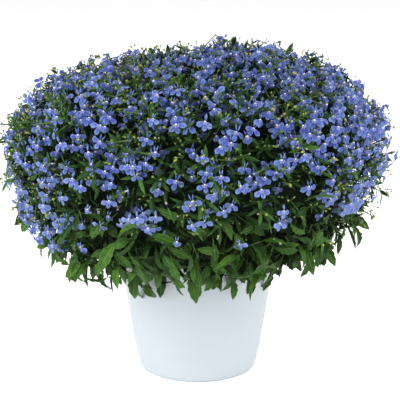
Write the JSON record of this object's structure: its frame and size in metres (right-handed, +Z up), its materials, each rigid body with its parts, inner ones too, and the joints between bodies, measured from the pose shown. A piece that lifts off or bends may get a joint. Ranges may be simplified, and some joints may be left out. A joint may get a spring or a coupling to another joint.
{
  "type": "potted lobelia",
  "caption": "Rounded, trailing lobelia in flower, with narrow leaves and small five-lobed blooms, rooted in compost in a plain tapered pot.",
  "frame": {"origin": "middle of the pot's foot, on the surface that it stands on", "axes": "+Z up along the pot's axis; -Y is the side that the picture shows, and +X is to its right"},
  "size_m": [0.3595, 0.3537, 0.3059],
  "materials": {
    "pot": "satin glaze",
    "compost": "matte",
    "foliage": "matte"
  },
  "bodies": {
    "root": {"pot": "pot", "compost": "compost", "spray_skirt_01": "foliage", "spray_skirt_02": "foliage", "spray_skirt_03": "foliage", "spray_skirt_04": "foliage", "spray_skirt_05": "foliage", "spray_skirt_06": "foliage", "spray_skirt_07": "foliage", "spray_skirt_08": "foliage", "spray_skirt_09": "foliage", "spray_skirt_10": "foliage", "spray_skirt_11": "foliage", "spray_side_01": "foliage", "spray_side_02": "foliage", "spray_side_03": "foliage", "spray_side_04": "foliage", "spray_side_05": "foliage", "spray_side_06": "foliage", "spray_side_07": "foliage", "spray_side_08": "foliage", "spray_side_09": "foliage", "spray_side_10": "foliage", "spray_shoulder_01": "foliage", "spray_shoulder_02": "foliage", "spray_shoulder_03": "foliage", "spray_shoulder_04": "foliage", "spray_shoulder_05": "foliage", "spray_shoulder_06": "foliage", "spray_shoulder_07": "foliage", "spray_shoulder_08": "foliage", "spray_crest_01": "foliage", "spray_crest_02": "foliage", "spray_crest_03": "foliage", "spray_crest_04": "foliage", "spray_crest_05": "foliage", "spray_top_01": "foliage", "spray_top_02": "foliage", "spray_top_03": "foliage"}
  },
  "joints": []
}
